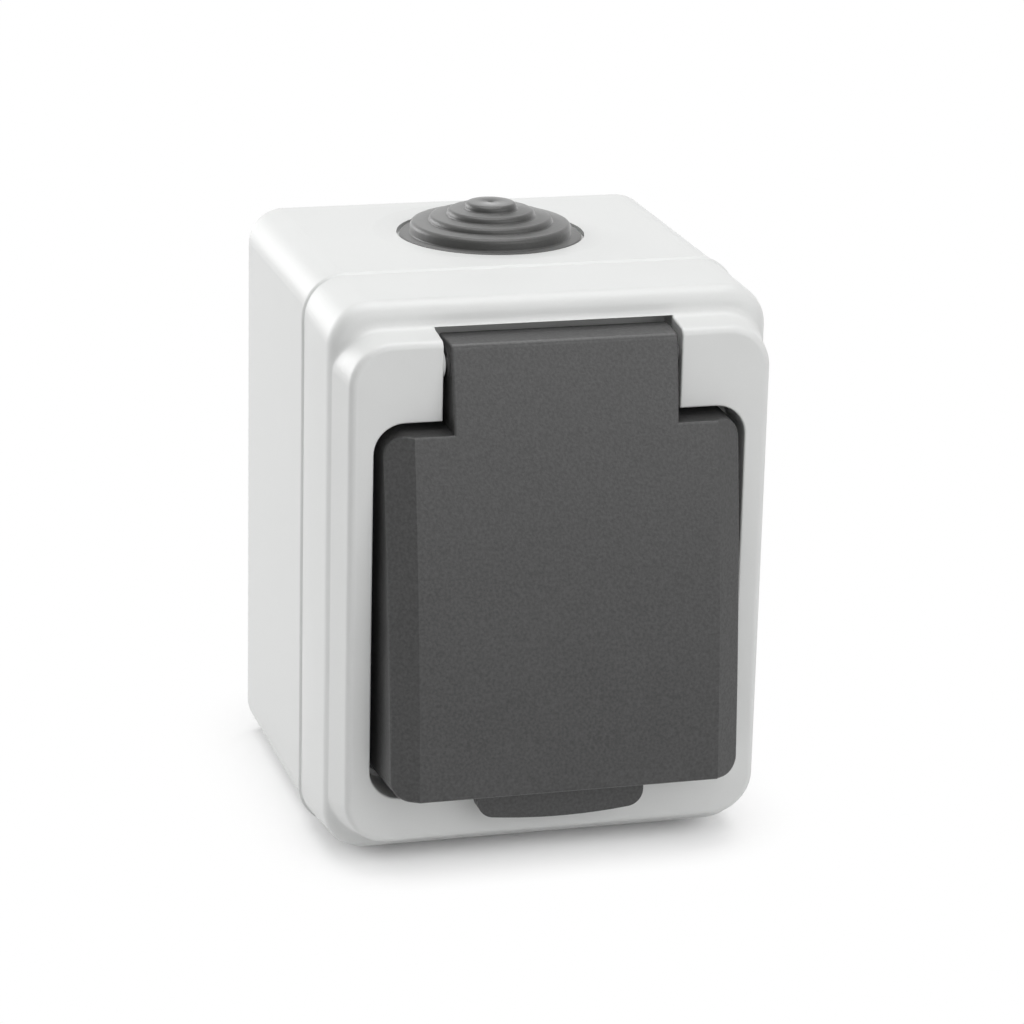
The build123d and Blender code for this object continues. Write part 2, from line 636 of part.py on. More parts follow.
def ring(outer, inner, depth_a, depth_b):
    """A flat ring around the plug recess axis."""
    sketch = Pos(0, SOCKET_Z) * (Circle(outer) - Circle(inner))
    return block(depth_a, depth_b, sketch)


def lid_seal():
    """Rubber ring on the lid's rib that closes onto the collar."""
    inner = COLLAR_RIB_R - LID_SEAL_W
    return ring(COLLAR_RIB_R, inner, CUP_RIM_DEPTH, CUP_RIM_DEPTH + LID_SEAL_T)


def cup_seal():
    """Rubber ring between the cup's flange and the cover's floor."""
    inner = CUP_R + CUP_SEAL_GAP
    return ring(CUP_FLANGE_R, inner, FLOOR_BACK_DEPTH - CUP_SEAL_T, FLOOR_BACK_DEPTH)


def plug_cup():
    """Round plug recess with side guides, pin holes and slots for the earth clips."""
    cup = rod(0, SOCKET_Z, CUP_R, CUP_BACK_DEPTH, CUP_RIM_DEPTH)
    flange_end = CUP_FLANGE_DEPTH + CUP_FLANGE_T
    cup += rod(0, SOCKET_Z, CUP_FLANGE_R, CUP_FLANGE_DEPTH, flange_end)
    cup -= rod(0, SOCKET_Z, RECESS_R, CUP_FLOOR_DEPTH, CUP_RIM_DEPTH)
    mouth = [
        edge
        for edge in cup.faces().sort_by(Axis.Y)[0].edges()
        if abs(edge.radius - RECESS_R) < 0.01
    ]
    cup = chamfer(mouth, CUP_MOUTH_CHAMFER)
    for side in (-1, 1):
        x0, x1 = sorted((side * (RECESS_R - GUIDE_RIB_T), side * (RECESS_R + CUP_WALL / 2)))
        cup += box_between(
            x0, x1, CUP_FLOOR_DEPTH, CUP_RIM_DEPTH - GUIDE_RIB_SHORT,
            SOCKET_Z - GUIDE_RIB_W / 2, SOCKET_Z + GUIDE_RIB_W / 2,
        )
        cup -= rod(side * PIN_PITCH / 2, SOCKET_Z, PIN_HOLE_R, CUP_BACK_DEPTH, CUP_FLOOR_DEPTH)
        z0, z1 = sorted((SOCKET_Z + side * (RECESS_R - EARTH_SLOT_T), SOCKET_Z + side * RECESS_R))
        half = EARTH_SLOT_W / 2
        cup -= box_between(-half, half, CUP_BACK_DEPTH, CUP_FLOOR_DEPTH, z0, z1)
    boss_r = SCREW_HEAD_R + CUP_BOSS_WALL
    cup += rod(0, SOCKET_Z, boss_r, CUP_FLOOR_DEPTH, CUP_FLOOR_DEPTH + CUP_BOSS_T)
    seat = CUP_FLOOR_DEPTH - CENTRE_SCREW_SINK
    cup -= rod(0, SOCKET_Z, SCREW_HEAD_R + SCREW_HEAD_GAP, seat, CUP_RIM_DEPTH)
    return cup - rod(0, SOCKET_Z, SCREW_HOLE_R, CUP_BACK_DEPTH, CUP_RIM_DEPTH)


def centre_screw():
    """Screw that holds the cup and the earth strip on the mechanism."""
    tip = BASE_BACK_DEPTH + CENTRE_SCREW_TIP
    return screw(0, SOCKET_Z, tip, CUP_FLOOR_DEPTH - CENTRE_SCREW_SINK)


def insert_base():
    """Thermoset block that carries the contacts, terminals and shutter."""
    base = block(
        BASE_BACK_DEPTH, BASE_FRONT_DEPTH,
        Pos(0, SOCKET_Z) * RectangleRounded(BASE_W, BASE_H, BASE_CORNER_R),
    )
    ears = Pos(0, SOCKET_Z) * RectangleRounded(2 * EAR_HALF_W, EAR_H, BASE_EAR_CORNER_R)
    base += block(BASE_BACK_DEPTH, BASE_BACK_DEPTH + EAR_T, ears)
    for x, z in BASE_SCREWS:
        base -= rod(x, z, SCREW_HOLE_R, BASE_BACK_DEPTH, BASE_FRONT_DEPTH)
    half = SHUTTER_W / 2 + SHUTTER_GAP
    base -= box_between(
        -half, half, SHUTTER_BACK_DEPTH - FIT_GAP, BASE_FRONT_DEPTH,
        SHUTTER_CHANNEL_BOTTOM, SOCKET_Z + SHUTTER_TOP + SHUTTER_GAP,
    )
    well_half = SHUTTER_SPRING_R + FIT_GAP
    base -= box_between(
        -well_half, well_half, SHUTTER_BACK_DEPTH - FIT_GAP, EARTH_STRIP_DEPTH,
        SHUTTER_CHANNEL_BOTTOM - SHUTTER_SPRING_WELL, SHUTTER_CHANNEL_BOTTOM,
    )
    groove_half = EARTH_STRIP_W / 2 + FIT_GAP
    base -= box_between(
        -groove_half, groove_half, EARTH_STRIP_DEPTH, BASE_FRONT_DEPTH,
        SOCKET_Z - BASE_H / 2, SOCKET_Z + BASE_H / 2,
    )
    branch_z = EARTH_TERMINAL[1]
    base -= box_between(
        EARTH_TERMINAL[0] - STRIP_W / 2 - FIT_GAP, 0, EARTH_STRIP_DEPTH, BASE_FRONT_DEPTH,
        branch_z - STRIP_W / 2 - FIT_GAP, branch_z + STRIP_W / 2 + FIT_GAP,
    )
    play_half = STRIP_W / 2 + CONTACT_PLAY
    strip_front = CONTACT_BACK_DEPTH + STRIP_T
    end_z = TERMINALS[0][1]
    for side in (-1, 1):
        x = side * PIN_PITCH / 2
        base -= rod(x, SOCKET_Z, SLEEVE_R + CONTACT_PLAY, BASE_BACK_DEPTH, BASE_FRONT_DEPTH)
        x0, x1 = sorted((x, side * TERMINAL_X))
        base -= box_between(
            x0 - play_half, x1 + play_half, BASE_BACK_DEPTH, strip_front,
            end_z - play_half, end_z + play_half,
        )
        base -= box_between(
            x - play_half, x + play_half, BASE_BACK_DEPTH, strip_front,
            SOCKET_Z, end_z + play_half,
        )
    size = TERMINAL_SIZE / 2 + FIT_GAP
    for x, z, back_depth in terminal_places():
        base -= box_between(
            x - size, x + size, back_depth, BASE_FRONT_DEPTH, z - size, z + size
        )
        x0, x1 = sorted((x, math.copysign(BASE_W / 2, x)))
        wire = Pos((x0 + x1) / 2, -back_depth - WIRE_BORE_R - WIRE_BORE_WALL, z) * Rot(0, 90, 0)
        base -= wire * Cylinder(WIRE_BORE_R + CONTACT_PLAY, x1 - x0)
    return base - rod(0, SOCKET_Z, SCREW_CORE_R + SCREW_FIT, BASE_BACK_DEPTH, BASE_FRONT_DEPTH)


def insert_screws():
    """Two screws that hold the mechanism on the box pillars."""
    tip = BASE_BACK_DEPTH - BASE_SCREW_GRIP
    seat = BASE_BACK_DEPTH + EAR_T
    return solids_of([screw(x, z, tip, seat) for x, z in BASE_SCREWS])


def contact(side):
    """Rolled brass sleeve for one pin, with its strip to the terminal."""
    x = side * PIN_PITCH / 2
    top = CONTACT_BACK_DEPTH + STRIP_T + SLEEVE_L
    body = rod(x, SOCKET_Z, SLEEVE_R, CONTACT_BACK_DEPTH, top)
    body -= rod(x, SOCKET_Z, SLEEVE_BORE_R, CONTACT_BACK_DEPTH + STRIP_T, top)
    body -= box_between(
        x - SLEEVE_SLIT / 2, x + SLEEVE_SLIT / 2, CONTACT_BACK_DEPTH + STRIP_T, top,
        SOCKET_Z - SLEEVE_R, SOCKET_Z,
    )
    end_z = TERMINALS[0][1]
    riser = box_between(
        x - STRIP_W / 2, x + STRIP_W / 2, CONTACT_BACK_DEPTH, CONTACT_BACK_DEPTH + STRIP_T,
        SOCKET_Z, end_z + STRIP_W / 2,
    )
    x0, x1 = sorted((x, side * TERMINAL_X))
    arm = box_between(
        x0 - STRIP_W / 2, x1 + STRIP_W / 2, CONTACT_BACK_DEPTH, CONTACT_BACK_DEPTH + STRIP_T,
        end_z - STRIP_W / 2, end_z + STRIP_W / 2,
    )
    return body + riser + arm


def earth_bow():
    """Bent strip whose two arms stand up through the cup's floor as earth clips."""
    half = EARTH_STRIP_W / 2
    arm_out = RECESS_R - EARTH_ARM_GAP
    arm_in = arm_out - STRIP_T
    strip = box_between(
        -half, half, EARTH_STRIP_DEPTH, EARTH_STRIP_DEPTH + STRIP_T,
        SOCKET_Z - arm_out, SOCKET_Z + arm_out,
    )
    root = CUP_FLOOR_DEPTH + EARTH_CLIP_ROOT
    knee = CUP_FLOOR_DEPTH + EARTH_CLIP_KNEE
    end = CUP_FLOOR_DEPTH + EARTH_CLIP_L
    for side in (-1, 1):
        points = [
            (arm_out, EARTH_STRIP_DEPTH),
            (arm_out, root),
            (arm_out - EARTH_CLIP_BOW, knee),
            (arm_out, end),
            (arm_in, end),
            (arm_in - EARTH_CLIP_BOW, knee),
            (arm_in, root),
            (arm_in, EARTH_STRIP_DEPTH),
        ]
        path = [(0, -depth, SOCKET_Z + side * z) for z, depth in points]
        strip += extrude(make_face(Polyline(*path, close=True)), half, dir=(1, 0, 0), both=True)
    x, z = EARTH_TERMINAL
    strip += box_between(
        x - STRIP_W / 2, 0, EARTH_STRIP_DEPTH, EARTH_STRIP_DEPTH + STRIP_T,
        z - STRIP_W / 2, z + STRIP_W / 2,
    )
    strip -= rod(x, z, SCREW_HOLE_R, EARTH_STRIP_DEPTH, EARTH_STRIP_DEPTH + STRIP_T)
    return strip - rod(0, SOCKET_Z, SCREW_HOLE_R, EARTH_STRIP_DEPTH, EARTH_STRIP_DEPTH + STRIP_T)


def terminal_block(x, z, back_depth):
    """Brass block with a cross bore for the wire and a tapped hole from the front."""
    half = TERMINAL_SIZE / 2
    body = box_between(x - half, x + half, back_depth, back_depth + TERMINAL_L, z - half, z + half)
    middle = back_depth + WIRE_BORE_R + WIRE_BORE_WALL
    body -= Pos(x, -middle, z) * Rot(0, 90, 0) * Cylinder(WIRE_BORE_R, TERMINAL_SIZE)
    return body - rod(x, z, SCREW_CORE_R + SCREW_FIT, middle, back_depth + TERMINAL_L)


def terminal_places():
    """Every terminal as x, z and the depth of its back."""
    places = [(x, z, TERMINAL_BACK_DEPTH) for x, z in TERMINALS]
    return places + [(*EARTH_TERMINAL, EARTH_TERMINAL_BACK)]


def terminal_blocks():
    """Live, neutral and earth terminals."""
    return solids_of([terminal_block(*place) for place in terminal_places()])


def terminal_screws():
    """Clamping screws of the three terminals."""
    screws = []
    for x, z, back_depth in terminal_places():
        seat = back_depth + TERMINAL_L
        if back_depth == EARTH_TERMINAL_BACK:
            seat += STRIP_T
        screws.append(screw(x, z, back_depth + 2 * WIRE_BORE_R, seat))
    return solids_of(screws)


def shutter():
    """Sliding plate that covers the pin holes until both pins push it down."""
    height = SHUTTER_BOTTOM + SHUTTER_TOP
    middle = SOCKET_Z + SHUTTER_TOP - height / 2
    plate = block(
        SHUTTER_BACK_DEPTH, SHUTTER_FRONT_DEPTH,
        Pos(0, middle) * RectangleRounded(SHUTTER_W, height, SHUTTER_CORNER_R),
    )
    hole_z = SOCKET_Z + SHUTTER_TRAVEL
    for side in (-1, 1):
        x = side * PIN_PITCH / 2
        funnel = Pos(x, -SHUTTER_FRONT_DEPTH + SHUTTER_RAMP / 2, hole_z) * Rot(90, 0, 0)
        plate -= funnel * Cone(PIN_HOLE_R, PIN_HOLE_R + SHUTTER_RAMP, SHUTTER_RAMP)
        plate -= rod(x, hole_z, PIN_HOLE_R, SHUTTER_BACK_DEPTH, SHUTTER_FRONT_DEPTH)
    slot = SlotCenterToCenter(SHUTTER_TRAVEL, 2 * SCREW_HOLE_R, rotation=90)
    slot = Pos(0, SOCKET_Z + SHUTTER_TRAVEL / 2) * slot
    return plate - block(SHUTTER_BACK_DEPTH, SHUTTER_FRONT_DEPTH, slot)


def shutter_spring():
    """Small compression spring under the shutter."""
    top = SOCKET_Z - SHUTTER_BOTTOM - FIT_GAP
    bottom = SHUTTER_CHANNEL_BOTTOM - SHUTTER_SPRING_WELL + FIT_GAP
    pitch = (top - bottom) / SHUTTER_SPRING_TURNS
    inner = SHUTTER_SPRING_R - SHUTTER_SPRING_WIRE
    coil = coil_body(inner, SHUTTER_SPRING_WIRE, SHUTTER_SPRING_TURNS, pitch)
    middle = (SHUTTER_BACK_DEPTH + SHUTTER_FRONT_DEPTH) / 2
    return Pos(0, -middle, (top + bottom) / 2) * coil


BUILDERS = {
    "back_box": back_box,
    "cable_grommet": cable_grommet,
    "box_seal": box_seal,
    "front_cover": front_cover,
    "cover_screws": cover_screws,
    "lid": lid,
    "hinge_pin": hinge_pin,
    "lid_spring": lid_spring,
    "lid_seal": lid_seal,
    "cup_seal": cup_seal,
    "plug_cup": plug_cup,
    "centre_screw": centre_screw,
    "insert_base": insert_base,
    "insert_screws": insert_screws,
    "contact_left": lambda: contact(-1),
    "contact_right": lambda: contact(1),
    "earth_bow": earth_bow,
    "terminal_blocks": terminal_blocks,
    "terminal_screws": terminal_screws,
    "shutter": shutter,
    "shutter_spring": shutter_spring,
}

os.makedirs("parts", exist_ok=True)
for name, build in BUILDERS.items():
    export_step(build(), f"parts/{name}.step")
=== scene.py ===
import math

import bpy
from mathutils import Matrix, Vector


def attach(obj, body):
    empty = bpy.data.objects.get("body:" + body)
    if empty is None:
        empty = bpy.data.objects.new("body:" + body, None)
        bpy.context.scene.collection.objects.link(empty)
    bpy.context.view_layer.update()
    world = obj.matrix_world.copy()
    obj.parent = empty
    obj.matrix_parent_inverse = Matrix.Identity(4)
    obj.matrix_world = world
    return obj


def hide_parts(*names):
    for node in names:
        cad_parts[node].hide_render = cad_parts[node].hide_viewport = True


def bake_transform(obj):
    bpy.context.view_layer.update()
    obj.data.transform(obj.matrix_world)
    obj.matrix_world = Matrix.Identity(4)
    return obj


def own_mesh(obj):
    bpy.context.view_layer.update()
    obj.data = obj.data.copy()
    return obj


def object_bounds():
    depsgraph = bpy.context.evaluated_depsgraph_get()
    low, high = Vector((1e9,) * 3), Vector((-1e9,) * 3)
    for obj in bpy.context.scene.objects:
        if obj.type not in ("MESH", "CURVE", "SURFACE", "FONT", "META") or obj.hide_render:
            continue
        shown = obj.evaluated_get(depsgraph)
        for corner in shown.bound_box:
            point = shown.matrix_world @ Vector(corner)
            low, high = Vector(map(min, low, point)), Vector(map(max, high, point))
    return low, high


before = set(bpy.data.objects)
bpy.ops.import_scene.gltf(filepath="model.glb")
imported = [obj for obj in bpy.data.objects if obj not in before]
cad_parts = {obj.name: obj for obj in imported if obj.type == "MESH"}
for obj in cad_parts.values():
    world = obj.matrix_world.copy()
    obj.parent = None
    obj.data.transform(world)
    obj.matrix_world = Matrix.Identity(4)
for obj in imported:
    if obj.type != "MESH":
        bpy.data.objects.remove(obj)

cad_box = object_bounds()

# Millimetres in metres, and how near two points count as one, in millimetres
MM = 0.001
TOUCH = 0.001

# Camera at the photograph's viewing angle, in degrees and metres, its optics in millimetres
CAMERA_AZIMUTH = 15.936
CAMERA_ELEVATION = 17.799
CAMERA_ROLL = 1.365
CAMERA_DISTANCE = 0.6416
CAMERA_AIM = (0.00998, -0.00533, -0.00742)
CAMERA_LENS = 137.55
CAMERA_SENSOR = 36.0

# Springs, in millimetres
HINGE = (0.0, -63.5, 35.4)
LID_SPRING_MEAN_R = 1.65
LID_SPRING_WIRE_R = 0.29
LID_SPRING_LEG_X = 3.0
LID_SPRING_LEG = 6.0
LID_SPRING_TURNS = 9.5
SHUTTER_SPRING_FOOT = (0.0, -40.3, -16.3)
SHUTTER_SPRING_L = 10.6
SHUTTER_SPRING_MEAN_R = 0.7
SHUTTER_SPRING_WIRE_R = 0.22
SHUTTER_SPRING_TURNS = 7.0
# Steps in a turn of wire, sides of the wire, and where its end ring is looked for, in wire radii
TURN_STEPS = 28
WIRE_SIDES = 10
END_RING_REACH = 1.02

# Edges sharper than this many degrees stay sharp in the shading
SMOOTH_ANGLE = 40.0

# Cable grommet's half section in millimetres: (radius, height) down its outside, then up inside
GROMMET_PLACE = (1.1, -20.3, 0.0)
GROMMET_CORNERS = (
    (0.0, 48.25), (0.6, 48.6), (4.05, 48.6), (4.05, 47.5), (6.85, 47.5), (6.85, 46.45),
    (9.65, 46.45), (9.65, 45.5), (12.55, 45.5), (12.55, 43.6), (14.25, 43.6), (14.25, 42.8),
    (11.5, 42.8), (11.5, 41.6), (12.8, 41.6), (12.3, 40.4), (10.3, 40.4), (10.3, 44.3),
    (8.45, 44.3), (8.45, 45.25), (5.65, 45.25), (5.65, 46.3), (2.85, 46.3), (2.85, 47.3),
    (0.0, 47.3),
)
# Bevel widths of its corners, by their number: step edges, then step roots and the lip's edge
GROMMET_BEVELS = (((2, 4, 6, 8), 0.7), ((3, 5, 7, 9, 10), 0.3))
ROUNDING_STEPS = 5
LATHE_STEPS = 112

# Shadow groove around the cover's skirt: the skirt's outline, the groove's cuts from the wall, its
# depth, and how far inside the outline a point still counts as the skirt's outside, in millimetres
COVER_HALF_W = 33.95
COVER_TOP = 44.2
COVER_BOTTOM = -43.9
COVER_CORNER_R = 6.5
GROOVE_CUTS = (42.8, 42.84, 43.16, 43.2)
GROOVE_DEPTH = 0.3
SKIN = 0.35

# Sizes of broad patches on plastics and of stains on metals, how far roughness strays from its
# value, and how far a metal's working marks raise it
PATCH_MM = 9.0
STAIN_MM = 1.5
GLOSS_PATCH = 0.03
GLOSS_MARK = 0.06
# Detail of fine and of broad noise, and the half width of the noise's range that is used
FINE_DETAIL = 2.0
BROAD_DETAIL = 3.0
NOISE_SPREAD = 0.2
SHEEN_ROUGHNESS = 0.4
# The mix node's sockets for colours
MIX_FIRST_COLOUR = 6
MIX_SECOND_COLOUR = 7
MIX_COLOUR_RESULT = 2

# Floor, in metres: the shadow is kept over the middle and fades out over the reach around it
FLOOR_SIZE = 3.0
PAPER_COLOUR = "#E6E6E6"
WHITE = "#FFFFFF"
SHADOW_MIDDLE = (0.0, -0.0247, 0.0)
SHADOW_HALF = (0.022, 0.0247, 0.0)
SHADOW_REACH = 0.0235

# Strength of the surround's light, and soft lights as (place, size, watts), in metres
WORLD_LIGHT = 0.096
LAMP_AIM = (0.0, -0.03, 0.0)
LAMPS = {
    "top_softbox": ((0.0, 0.0, 1.0), 0.9, 8.8),
    "left_rear_softbox": ((-0.75, 0.75, 0.15), 0.8, 9.8),
    "front_softbox": ((0.1, -1.1, 0.5), 0.8, 2.9),
    "right_front_softbox": ((0.7, -0.85, 0.35), 0.8, 3.3),
}


def linear(colour):
    """An sRGB hex colour as linear RGBA."""
    channels = [int(colour[i:i + 2], 16) / 255 for i in (1, 3, 5)]
    return [c / 12.92 if c <= 0.04045 else ((c + 0.055) / 1.055) ** 2.4 for c in channels] + [1.0]


def node(tree, kind, inputs=(), links=(), **settings):
    """Adds a node with its settings, input values and incoming links."""
    new = tree.nodes.new(kind)
    for name, value in settings.items():
        setattr(new, name, value)
    for name, value in dict(inputs).items():
        new.inputs[name].default_value = value
    for name, output in dict(links).items():
        tree.links.new(output, new.inputs[name])
    return new


def blank_material(name):
    """A new material with an empty node tree."""
    material = bpy.data.materials.new(name)
    material.use_nodes = True
    tree = material.node_tree
    tree.nodes.clear()
    return material, tree


def finish_material(tree, shader):
    """Joins a finished shader to the output."""
    node(tree, "ShaderNodeOutputMaterial", links={"Surface": shader})


def noise(tree, coords, size_mm, detail=FINE_DETAIL):
    """Noise whose blotches have a real size."""
    return node(
        tree, "ShaderNodeTexNoise", {"Scale": 1 / (size_mm * MM), "Detail": detail},
        {"Vector": coords},
    ).outputs["Fac"]


def ranged(tree, value, low, high):
    """The middle of a noise's range, stretched from low to high."""
    return node(
        tree, "ShaderNodeMapRange",
        {
            "From Min": 0.5 - NOISE_SPREAD, "From Max": 0.5 + NOISE_SPREAD,
            "To Min": low, "To Max": high,
        },
        {"Value": value},
    ).outputs["Result"]


def blended(tree, amount, dark, light):
    """Two close colours mixed by a value."""
    mix = node(
        tree, "ShaderNodeMix", {MIX_FIRST_COLOUR: linear(dark), MIX_SECOND_COLOUR: linear(light)},
        {"Factor": amount}, data_type="RGBA",
    )
    return mix.outputs[MIX_COLOUR_RESULT]


def relief(tree, height, height_mm):
    """Bumps of a real height from a noise."""
    return node(
        tree, "ShaderNodeBump", {"Strength": 1.0, "Distance": height_mm * MM}, {"Height": height}
    ).outputs["Normal"]


def moulded_plastic(
    name, dark, light, roughness, grain_mm, grain_height_mm, patch_share, ior, sheen=0.0
):
    """A moulded plastic: grain in its bump and colour, and broad faint patches in its gloss."""
    material, tree = blank_material(name)
    coords = node(tree, "ShaderNodeTexCoord").outputs["Object"]
    grain = noise(tree, coords, grain_mm)
    patches = noise(tree, coords, PATCH_MM, BROAD_DETAIL)
    tint = node(
        tree, "ShaderNodeMix", {"Factor": patch_share},
        {"A": ranged(tree, grain, 0.0, 1.0), "B": ranged(tree, patches, 0.0, 1.0)},
    )
    bump = relief(tree, grain, grain_height_mm)
    shader = node(
        tree, "ShaderNodeBsdfPrincipled",
        {"IOR": ior, "Sheen Weight": sheen, "Sheen Roughness": SHEEN_ROUGHNESS},
        {
            "Base Color": blended(tree, tint.outputs["Result"], dark, light),
            "Roughness": ranged(tree, patches, roughness - GLOSS_PATCH, roughness + GLOSS_PATCH),
            "Normal": bump,
        },
    )
    finish_material(tree, shader.outputs["BSDF"])
    return material


def metal(name, dark, light, roughness, mark_mm, mark_height_mm, stretch=(1, 1, 1)):
    """A metal with fine working marks in its colour, gloss and bump."""
    material, tree = blank_material(name)
    coords = node(tree, "ShaderNodeTexCoord").outputs["Object"]
    along = node(tree, "ShaderNodeMapping", {"Scale": stretch}, {"Vector": coords})
    marks = noise(tree, along.outputs["Vector"], mark_mm)
    stains = noise(tree, coords, STAIN_MM, BROAD_DETAIL)
    bump = relief(tree, marks, mark_height_mm)
    shader = node(
        tree, "ShaderNodeBsdfPrincipled", {"Metallic": 1.0},
        {
            "Base Color": blended(tree, ranged(tree, stains, 0.0, 1.0), dark, light),
            "Roughness": ranged(tree, marks, roughness - GLOSS_PATCH, roughness + GLOSS_MARK),
            "Normal": bump,
        },
    )
    finish_material(tree, shader.outputs["BSDF"])
    return material


# Light grey ABS, spark-eroded in the mould: a soft satin, with a grain too fine to see
HOUSING_ABS = moulded_plastic(
    "light_grey_abs_eroded", "#DADBDA", "#DDDEDD", roughness=0.42,
    grain_mm=0.3, grain_height_mm=0.004, patch_share=0.6, ior=1.53,
)
# Dark grey ABS with a photo-etched grain: matt, with small pale specks that break up its sheen
LID_ABS = moulded_plastic(
    "dark_grey_abs_grained", "#292929", "#404040", roughness=0.43,
    grain_mm=0.45, grain_height_mm=0.03, patch_share=0.15, ior=1.53,
)
# Soft dark thermoplastic rubber: dark sides, and a dusty sheen where it is seen at a flat angle
GROMMET_RUBBER = moulded_plastic(
    "dark_grey_soft_rubber", "#2B2B2A", "#343432", roughness=0.42,
    grain_mm=0.5, grain_height_mm=0.02, patch_share=0.4, ior=1.52, sheen=0.75,
)
# Black sealing rubber, matt from its mould
SEAL_RUBBER = moulded_plastic(
    "black_sealing_rubber", "#242424", "#2A2A2A", roughness=0.65,
    grain_mm=0.3, grain_height_mm=0.01, patch_share=0.5, ior=1.52,
)
# Light grey ABS of the recess, polished in the mould so that plugs slide in: a clearer sheen
RECESS_ABS = moulded_plastic(
    "light_grey_abs_polished", "#D6D7D6", "#DADBDA", roughness=0.3,
    grain_mm=0.6, grain_height_mm=0.003, patch_share=0.6, ior=1.53,
)
# Dark thermoset moulding compound, dull, with its mineral filler showing as specks
THERMOSET = moulded_plastic(
    "filled_thermoset", "#45423D", "#57544E", roughness=0.55,
    grain_mm=0.5, grain_height_mm=0.02, patch_share=0.3, ior=1.6,
)
# Natural polyoxymethylene, smooth and waxy
SHUTTER_POM = moulded_plastic(
    "natural_pom_smooth", "#D8D4C8", "#DEDACF", roughness=0.3,
    grain_mm=0.5, grain_height_mm=0.004, patch_share=0.6, ior=1.48,
)
# Zinc-plated steel: bright with a bluish cast and a slightly cloudy gloss
ZINC_STEEL = metal(
    "zinc_plated_steel", "#B9BDC2", "#C8CBCE", roughness=0.28,
    mark_mm=0.3, mark_height_mm=0.004,
)
# Centreless-ground stainless steel: fine rings around the pin
GROUND_STEEL = metal(
    "ground_stainless_steel", "#B8B8B8", "#C6C6C5", roughness=0.22,
    mark_mm=0.4, mark_height_mm=0.003, stretch=(6, 1, 1),
)
# Drawn and oiled spring wire, a little darker
SPRING_WIRE = metal(
    "drawn_spring_wire", "#8F9092", "#A5A6A8", roughness=0.3,
    mark_mm=0.2, mark_height_mm=0.003,
)
# Brass strip and blocks: warm, with the soft marks of rolling and sawing
BRASS = metal(
    "plain_brass", "#C6A04B", "#D2AE5C", roughness=0.3,
    mark_mm=0.4, mark_height_mm=0.004, stretch=(1, 1, 4),
)
# Tinned brass strip, paler and softer
TINNED_BRASS = metal(
    "tinned_brass", "#BDB6A2", "#CBC5B4", roughness=0.35,
    mark_mm=0.4, mark_height_mm=0.004, stretch=(1, 1, 4),
)

NODE_FINISHES = {
    "back_box": HOUSING_ABS,
    "front_cover": HOUSING_ABS,
    "plug_cup": RECESS_ABS,
    "lid": LID_ABS,
    "cable_grommet": GROMMET_RUBBER,
    "box_seal": SEAL_RUBBER,
    "lid_seal": SEAL_RUBBER,
    "cup_seal": SEAL_RUBBER,
    "insert_base": THERMOSET,
    "shutter": SHUTTER_POM,
    "cover_screws": ZINC_STEEL,
    "centre_screw": ZINC_STEEL,
    "insert_screws": ZINC_STEEL,
    "terminal_screws": ZINC_STEEL,
    "hinge_pin": GROUND_STEEL,
    "lid_spring": SPRING_WIRE,
    "shutter_spring": SPRING_WIRE,
    "contact_left": BRASS,
    "contact_right": BRASS,
    "terminal_blocks": BRASS,
    "earth_bow": TINNED_BRASS,
}


def dress_nodes():
    """Gives every CAD piece its finish."""
    for name, finish in NODE_FINISHES.items():
        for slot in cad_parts[name].material_slots:
            slot.material = finish


def deselect():
    """Leaves nothing selected."""
    bpy.ops.object.select_all(action="DESELECT")


def wound_wire(name, start, turned, wire_r, axis, turns, advance):
    """Winds a round wire from its start around an axis through the origin."""
    deselect()
    bpy.ops.mesh.primitive_circle_add(
        vertices=WIRE_SIDES, radius=wire_r * MM, location=[c * MM for c in start], rotation=turned
    )
    wire = bpy.context.object
    wire.name = name
    bpy.ops.object.transform_apply(location=True, rotation=True, scale=True)
    winding = wire.modifiers.new("winding", "SCREW")
    winding.axis = axis
    winding.angle = turns * 2 * math.pi
    winding.screw_offset = advance * MM
    winding.steps = int(turns * TURN_STEPS)
    winding.render_steps = winding.steps
    bpy.ops.object.modifier_apply(modifier=winding.name)
    return wire


def pick_points(piece, wanted):
    """Goes into edit mode with only the wanted points of a piece selected."""
    bpy.ops.object.mode_set(mode="EDIT")
    bpy.ops.mesh.select_mode(type="VERT")
    bpy.ops.mesh.select_all(action="DESELECT")
    bpy.ops.object.mode_set(mode="OBJECT")
    for point in piece.data.vertices:
        point.select = wanted(point.co)
    bpy.ops.object.mode_set(mode="EDIT")


def close_end(wire, centre, wire_r, leg=0.0):
    """Draws a straight leg downwards from one end of a wire, if it has one, and closes the end."""
    middle = Vector(centre) * MM
    pick_points(wire, lambda point: (point - middle).length < wire_r * MM * END_RING_REACH)
    if leg:
        bpy.ops.mesh.extrude_region_move(TRANSFORM_OT_translate={"value": (0, 0, -leg * MM)})
    bpy.ops.mesh.edge_face_add()
    bpy.ops.object.mode_set(mode="OBJECT")


def settle(piece, place, finish):
    """Moves a new piece's mesh to its place, smooths it and gives it its finish."""
    bpy.ops.object.mode_set(mode="EDIT")
    bpy.ops.mesh.select_all(action="SELECT")
    bpy.ops.mesh.normals_make_consistent(inside=False)
    bpy.ops.transform.translate(value=[c * MM for c in place])
    bpy.ops.object.mode_set(mode="OBJECT")
    bpy.ops.object.shade_smooth_by_angle(angle=math.radians(SMOOTH_ANGLE))
    piece.data.materials.append(finish)


def at_corner(point, corner):
    """Whether a point of the grommet's section is at a corner of it."""
    radius, height = corner
    return abs(point.x - radius * MM) < TOUCH * MM and abs(point.z - height * MM) < TOUCH * MM


